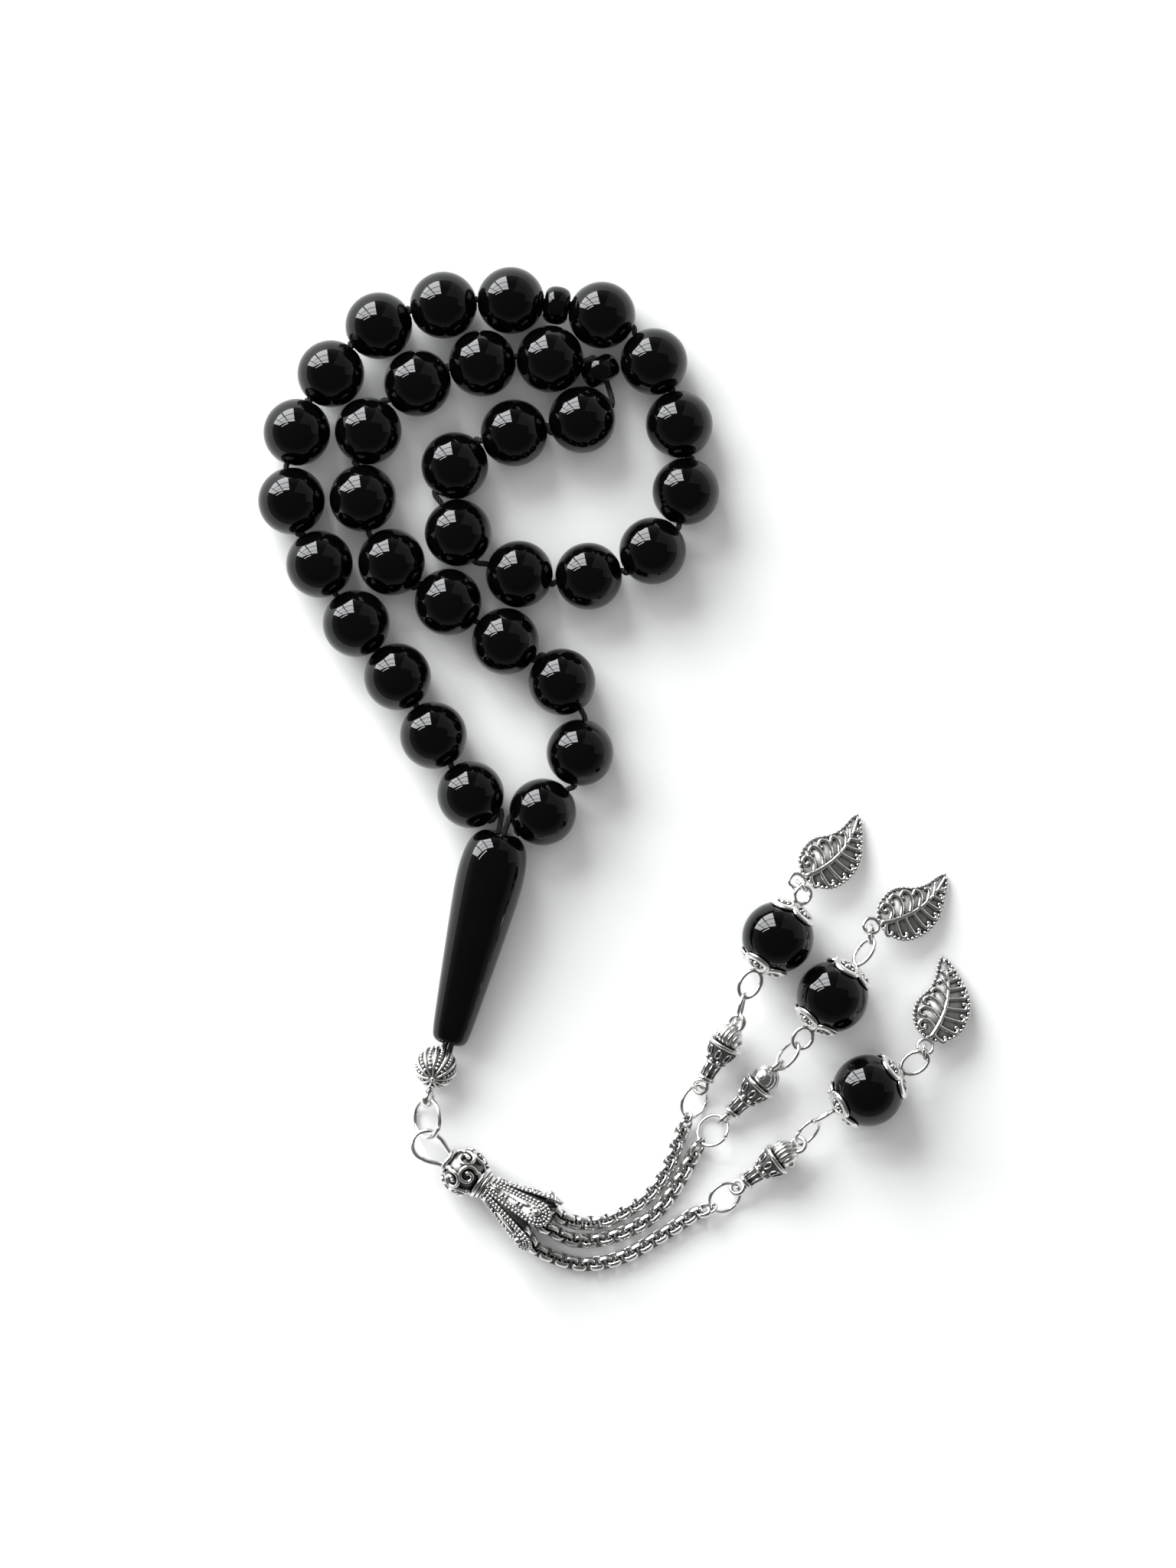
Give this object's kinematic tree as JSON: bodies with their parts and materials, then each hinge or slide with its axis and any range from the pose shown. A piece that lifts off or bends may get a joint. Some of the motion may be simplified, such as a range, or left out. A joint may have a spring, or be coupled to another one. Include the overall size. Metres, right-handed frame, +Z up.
{
  "type": "prayer beads",
  "caption": "Looped string of round polished beads with small dividing beads, a long tapered leader bead and a silver tassel of chains, torch charms, bead drops and leaf pendants.",
  "frame": {"origin": "middle of the whole object's length and width, at the height of the surface that it lies on", "axes": "+Z up from the surface, +Y from the tassel towards the far end of the bead loop, +X to the side that the tassel's strands run to"},
  "size_m": [0.1069, 0.151, 0.0108],
  "materials": {
    "onyx": "black onyx, mirror polished",
    "antique_silver": "oxidised silver, bright on its high places and dark in its recesses",
    "cord": "thin black braided cord"
  },
  "bodies": {
    "string": {"cord_loop": "cord"},
    "bead_01": {"bead_01": "onyx"},
    "bead_02": {"bead_02": "onyx"},
    "bead_03": {"bead_03": "onyx"},
    "bead_04": {"bead_04": "onyx"},
    "bead_05": {"bead_05": "onyx"},
    "bead_06": {"bead_06": "onyx"},
    "bead_07": {"bead_07": "onyx"},
    "bead_08": {"bead_08": "onyx"},
    "bead_09": {"bead_09": "onyx"},
    "bead_10": {"bead_10": "onyx"},
    "bead_11": {"bead_11": "onyx"},
    "rondelle_1": {"rondelle_1": "onyx"},
    "bead_12": {"bead_12": "onyx"},
    "bead_13": {"bead_13": "onyx"},
    "bead_14": {"bead_14": "onyx"},
    "bead_15": {"bead_15": "onyx"},
    "bead_16": {"bead_16": "onyx"},
    "bead_17": {"bead_17": "onyx"},
    "bead_18": {"bead_18": "onyx"},
    "bead_19": {"bead_19": "onyx"},
    "bead_20": {"bead_20": "onyx"},
    "bead_21": {"bead_21": "onyx"},
    "bead_22": {"bead_22": "onyx"},
    "rondelle_2": {"rondelle_2": "onyx"},
    "bead_23": {"bead_23": "onyx"},
    "bead_24": {"bead_24": "onyx"},
    "bead_25": {"bead_25": "onyx"},
    "bead_26": {"bead_26": "onyx"},
    "bead_27": {"bead_27": "onyx"},
    "bead_28": {"bead_28": "onyx"},
    "bead_29": {"bead_29": "onyx"},
    "bead_30": {"bead_30": "onyx"},
    "bead_31": {"bead_31": "onyx"},
    "bead_32": {"bead_32": "onyx"},
    "bead_33": {"bead_33": "onyx"},
    "imame": {"imame": "onyx"},
    "end_ball": {"end_ball": "antique_silver"},
    "oval_ring": {"oval_ring": "antique_silver"},
    "tassel_pin": {"tassel_pin": "antique_silver"},
    "filigree_ball": {"filigree_ball": "antique_silver"},
    "cone_cap": {"cone_cap": "antique_silver"},
    "chain_1": {"chain_1": "antique_silver"},
    "jump_ring_1": {"jump_ring_1": "antique_silver"},
    "torch_1": {"torch_1": "antique_silver"},
    "drop_pin_1": {"drop_pin_1": "antique_silver"},
    "drop_bead_1": {"drop_bead_1": "onyx"},
    "leaf_1": {"leaf_1": "antique_silver"},
    "chain_2": {"chain_2": "antique_silver"},
    "jump_ring_2": {"jump_ring_2": "antique_silver"},
    "torch_2": {"torch_2": "antique_silver"},
    "drop_pin_2": {"drop_pin_2": "antique_silver"},
    "drop_bead_2": {"drop_bead_2": "onyx"},
    "leaf_2": {"leaf_2": "antique_silver"},
    "chain_3": {"chain_3": "antique_silver"},
    "jump_ring_3": {"jump_ring_3": "antique_silver"},
    "torch_3": {"torch_3": "antique_silver"},
    "drop_pin_3": {"drop_pin_3": "antique_silver"},
    "drop_bead_3": {"drop_bead_3": "onyx"},
    "leaf_3": {"leaf_3": "antique_silver"}
  },
  "joints": [
    {"name": "end_ball_turn", "type": "hinge", "parent": "string", "child": "end_ball", "pos_m": [-0.0267, -0.0447, 0.00315], "axis": [-0.2328, -0.9701, -0.0679], "range_deg": [0, 40]},
    {"name": "oval_ring_lift", "type": "hinge", "parent": "end_ball", "child": "oval_ring", "pos_m": [-0.0279, -0.04955, 0.0027], "axis": [-0.6427, 0.0107, -0.766], "range_deg": [0, 40]},
    {"name": "tassel_swing", "type": "hinge", "parent": "oval_ring", "child": "tassel_pin", "pos_m": [-0.028, -0.05545, 0.0027], "axis": [0, 0, 1], "range_deg": [-15, 15]},
    {"name": "chain_1_lift", "type": "hinge", "parent": "tassel_pin", "child": "chain_1", "pos_m": [-0.01221, -0.06598, 0.00458], "axis": [0.6716, -0.7409, 0], "range_deg": [0, 12]},
    {"name": "jump_ring_1_lift", "type": "hinge", "parent": "chain_1", "child": "jump_ring_1", "pos_m": [0.01122, -0.0523, 0.002], "axis": [0.8961, -0.4439, 0], "range_deg": [0, 25]},
    {"name": "torch_1_lift", "type": "hinge", "parent": "jump_ring_1", "child": "torch_1", "pos_m": [0.01318, -0.0477, 0.002], "axis": [0.8909, -0.4543, 0], "range_deg": [0, 25]},
    {"name": "drop_1_lift", "type": "hinge", "parent": "torch_1", "child": "drop_pin_1", "pos_m": [0.01865, -0.038, 0.00392], "axis": [0.9055, -0.4243, 0], "range_deg": [0, 10]},
    {"name": "leaf_1_swing", "type": "hinge", "parent": "drop_pin_1", "child": "leaf_1", "pos_m": [0.0276, -0.0167, 0.0046], "axis": [-0.263, 0.2904, 0.92], "range_deg": [-25, 25]},
    {"name": "chain_2_lift", "type": "hinge", "parent": "tassel_pin", "child": "chain_2", "pos_m": [-0.01237, -0.06724, 0.00483], "axis": [0.5208, -0.8537, 0], "range_deg": [0, 8]},
    {"name": "jump_ring_2_lift", "type": "hinge", "parent": "chain_2", "child": "jump_ring_2", "pos_m": [0.01317, -0.056, 0.002], "axis": [0.7446, -0.6675, 0], "range_deg": [0, 15]},
    {"name": "torch_2_lift", "type": "hinge", "parent": "jump_ring_2", "child": "torch_2", "pos_m": [0.01683, -0.0526, 0.002], "axis": [0.7566, -0.6539, 0], "range_deg": [0, 15]},
    {"name": "drop_2_lift", "type": "hinge", "parent": "torch_2", "child": "drop_pin_2", "pos_m": [0.02464, -0.04466, 0.00393], "axis": [0.7904, -0.6126, 0], "range_deg": [0, 10]},
    {"name": "leaf_2_swing", "type": "hinge", "parent": "drop_pin_2", "child": "leaf_2", "pos_m": [0.0388, -0.0234, 0.0043], "axis": [-0.2319, 0.395, 0.8889], "range_deg": [-25, 25]},
    {"name": "chain_3_lift", "type": "hinge", "parent": "tassel_pin", "child": "chain_3", "pos_m": [-0.01352, -0.06782, 0.00498], "axis": [0.2671, -0.9637, 0], "range_deg": [0, 8]},
    {"name": "jump_ring_3_lift", "type": "hinge", "parent": "chain_3", "child": "jump_ring_3", "pos_m": [0.01488, -0.06601, 0.002], "axis": [0.6091, -0.7931, 0], "range_deg": [0, 20]},
    {"name": "torch_3_lift", "type": "hinge", "parent": "jump_ring_3", "child": "torch_3", "pos_m": [0.01872, -0.06279, 0.002], "axis": [0.6021, -0.7984, 0], "range_deg": [0, 25]},
    {"name": "drop_3_lift", "type": "hinge", "parent": "torch_3", "child": "drop_pin_3", "pos_m": [0.02783, -0.05636, 0.00383], "axis": [0.6231, -0.7822, 0], "range_deg": [0, 10]},
    {"name": "leaf_3_swing", "type": "hinge", "parent": "drop_pin_3", "child": "leaf_3", "pos_m": [0.0469, -0.0416, 0.0043], "axis": [-0.1857, 0.589, 0.7865], "range_deg": [-25, 25]},
    {"name": "filigree_ball_spin", "type": "hinge", "parent": "tassel_pin", "child": "filigree_ball", "pos_m": [-0.0223, -0.0604, 0.0038], "axis": [0.8206, -0.5651, 0.0852], "continuous": true},
    {"name": "cone_cap_spin", "type": "hinge", "parent": "tassel_pin", "child": "cone_cap", "pos_m": [-0.0191, -0.0626, 0.00413], "axis": [0.8206, -0.5651, 0.0852], "continuous": true},
    {"name": "drop_bead_1_spin", "type": "hinge", "parent": "drop_pin_1", "child": "drop_bead_1", "pos_m": [0.0247, -0.0251, 0.0054], "axis": [0.5105, 0.8599, 0], "continuous": true},
    {"name": "drop_bead_2_spin", "type": "hinge", "parent": "drop_pin_2", "child": "drop_bead_2", "pos_m": [0.0329, -0.034, 0.0054], "axis": [0.5807, 0.8141, 0], "continuous": true},
    {"name": "drop_bead_3_spin", "type": "hinge", "parent": "drop_pin_3", "child": "drop_bead_3", "pos_m": [0.0382, -0.0481, 0.0054], "axis": [0.8634, 0.5045, 0], "continuous": true},
    {"name": "imame_spin", "type": "hinge", "parent": "string", "child": "imame", "pos_m": [-0.0168, -0.0094, 0.00572], "axis": [-0.2431, -0.9665, -0.0827], "continuous": true},
    {"name": "rondelle_1_spin", "type": "hinge", "parent": "string", "child": "rondelle_1", "pos_m": [-0.0085, 0.0698, 0.0044], "axis": [0.9874, -0.1584, 0], "continuous": true},
    {"name": "rondelle_2_spin", "type": "hinge", "parent": "string", "child": "rondelle_2", "pos_m": [-0.00195, 0.06, 0.0044], "axis": [-0.4766, 0.8791, 0], "continuous": true},
    {"name": "bead_01_spin", "type": "hinge", "parent": "string", "child": "bead_01", "pos_m": [-0.0214, -0.0037, 0.00495], "axis": [-0.5813, 0.8137, 0], "continuous": true},
    {"name": "bead_02_spin", "type": "hinge", "parent": "string", "child": "bead_02", "pos_m": [-0.027, 0.0052, 0.00495], "axis": [-0.5278, 0.8494, 0], "continuous": true},
    {"name": "bead_03_spin", "type": "hinge", "parent": "string", "child": "bead_03", "pos_m": [-0.0324, 0.014, 0.00495], "axis": [-0.5686, 0.8226, 0], "continuous": true},
    {"name": "bead_04_spin", "type": "hinge", "parent": "string", "child": "bead_04", "pos_m": [-0.0386, 0.022, 0.00495], "axis": [-0.5699, 0.8217, 0], "continuous": true},
    {"name": "bead_05_spin", "type": "hinge", "parent": "string", "child": "bead_05", "pos_m": [-0.0441, 0.0309, 0.00495], "axis": [-0.4661, 0.8847, 0], "continuous": true},
    {"name": "bead_06_spin", "type": "hinge", "parent": "string", "child": "bead_06", "pos_m": [-0.0483, 0.0404, 0.00495], "axis": [-0.1686, 0.9857, 0], "continuous": true},
    {"name": "bead_07_spin", "type": "hinge", "parent": "string", "child": "bead_07", "pos_m": [-0.0475, 0.0507, 0.00495], "axis": [0.2968, 0.9549, 0], "continuous": true},
    {"name": "bead_08_spin", "type": "hinge", "parent": "string", "child": "bead_08", "pos_m": [-0.0424, 0.0595, 0.00495], "axis": [0.6094, 0.7929, 0], "continuous": true},
    {"name": "bead_09_spin", "type": "hinge", "parent": "string", "child": "bead_09", "pos_m": [-0.0352, 0.0667, 0.00495], "axis": [0.8539, 0.5204, 0], "continuous": true},
    {"name": "bead_10_spin", "type": "hinge", "parent": "string", "child": "bead_10", "pos_m": [-0.0255, 0.0698, 0.00495], "axis": [0.9821, 0.1881, 0], "continuous": true},
    {"name": "bead_11_spin", "type": "hinge", "parent": "string", "child": "bead_11", "pos_m": [-0.0154, 0.0705, 0.00495], "axis": [0.9999, -0.016, 0], "continuous": true},
    {"name": "bead_12_spin", "type": "hinge", "parent": "string", "child": "bead_12", "pos_m": [-0.0017, 0.0683, 0.00495], "axis": [0.9387, -0.3449, 0], "continuous": true},
    {"name": "bead_13_spin", "type": "hinge", "parent": "string", "child": "bead_13", "pos_m": [0.0061, 0.0613, 0.00495], "axis": [0.5743, -0.8186, 0], "continuous": true},
    {"name": "bead_14_spin", "type": "hinge", "parent": "string", "child": "bead_14", "pos_m": [0.0099, 0.0519, 0.00495], "axis": [0.2391, -0.971, 0], "continuous": true},
    {"name": "bead_15_spin", "type": "hinge", "parent": "string", "child": "bead_15", "pos_m": [0.0109, 0.0418, 0.00495], "axis": [-0.2051, -0.9787, 0], "continuous": true},
    {"name": "bead_16_spin", "type": "hinge", "parent": "string", "child": "bead_16", "pos_m": [0.0059, 0.0329, 0.00495], "axis": [-0.7532, -0.6578, 0], "continuous": true},
    {"name": "bead_17_spin", "type": "hinge", "parent": "string", "child": "bead_17", "pos_m": [-0.0037, 0.0291, 0.00495], "axis": [-0.9849, -0.1732, 0], "continuous": true},
    {"name": "bead_18_spin", "type": "hinge", "parent": "string", "child": "bead_18", "pos_m": [-0.0141, 0.0294, 0.00495], "axis": [-0.9521, 0.3059, 0], "continuous": true},
    {"name": "bead_19_spin", "type": "hinge", "parent": "string", "child": "bead_19", "pos_m": [-0.0233, 0.0356, 0.00495], "axis": [-0.4913, 0.871, 0], "continuous": true},
    {"name": "bead_20_spin", "type": "hinge", "parent": "string", "child": "bead_20", "pos_m": [-0.0238, 0.0457, 0.00495], "axis": [0.6179, 0.7862, 0], "continuous": true},
    {"name": "bead_21_spin", "type": "hinge", "parent": "string", "child": "bead_21", "pos_m": [-0.0149, 0.0506, 0.00495], "axis": [0.9704, 0.2413, 0], "continuous": true},
    {"name": "bead_22_spin", "type": "hinge", "parent": "string", "child": "bead_22", "pos_m": [-0.0047, 0.0526, 0.00495], "axis": [0.911, 0.4124, 0], "continuous": true},
    {"name": "bead_23_spin", "type": "hinge", "parent": "string", "child": "bead_23", "pos_m": [-0.0095, 0.0617, 0.00495], "axis": [-0.9967, 0.0813, 0], "continuous": true},
    {"name": "bead_24_spin", "type": "hinge", "parent": "string", "child": "bead_24", "pos_m": [-0.0197, 0.0611, 0.00495], "axis": [-0.984, -0.1784, 0], "continuous": true},
    {"name": "bead_25_spin", "type": "hinge", "parent": "string", "child": "bead_25", "pos_m": [-0.0294, 0.0581, 0.00495], "axis": [-0.8598, -0.5106, 0], "continuous": true},
    {"name": "bead_26_spin", "type": "hinge", "parent": "string", "child": "bead_26", "pos_m": [-0.0368, 0.0509, 0.00495], "axis": [-0.4251, -0.9051, 0], "continuous": true},
    {"name": "bead_27_spin", "type": "hinge", "parent": "string", "child": "bead_27", "pos_m": [-0.0376, 0.0408, 0.00495], "axis": [0.1702, -0.9854, 0], "continuous": true},
    {"name": "bead_28_spin", "type": "hinge", "parent": "string", "child": "bead_28", "pos_m": [-0.0333, 0.0312, 0.00495], "axis": [0.6355, -0.7721, 0], "continuous": true},
    {"name": "bead_29_spin", "type": "hinge", "parent": "string", "child": "bead_29", "pos_m": [-0.0248, 0.0252, 0.00495], "axis": [0.8208, -0.5712, 0], "continuous": true},
    {"name": "bead_30_spin", "type": "hinge", "parent": "string", "child": "bead_30", "pos_m": [-0.0162, 0.0193, 0.00495], "axis": [0.8186, -0.5744, 0], "continuous": true},
    {"name": "bead_31_spin", "type": "hinge", "parent": "string", "child": "bead_31", "pos_m": [-0.0077, 0.0132, 0.00495], "axis": [0.5637, -0.826, 0], "continuous": true},
    {"name": "bead_32_spin", "type": "hinge", "parent": "string", "child": "bead_32", "pos_m": [-0.005, 0.0026, 0.00495], "axis": [-0.1555, -0.9878, 0], "continuous": true},
    {"name": "bead_33_spin", "type": "hinge", "parent": "string", "child": "bead_33", "pos_m": [-0.0106, -0.0063, 0.00495], "axis": [-0.7409, -0.6716, 0], "continuous": true}
  ]
}
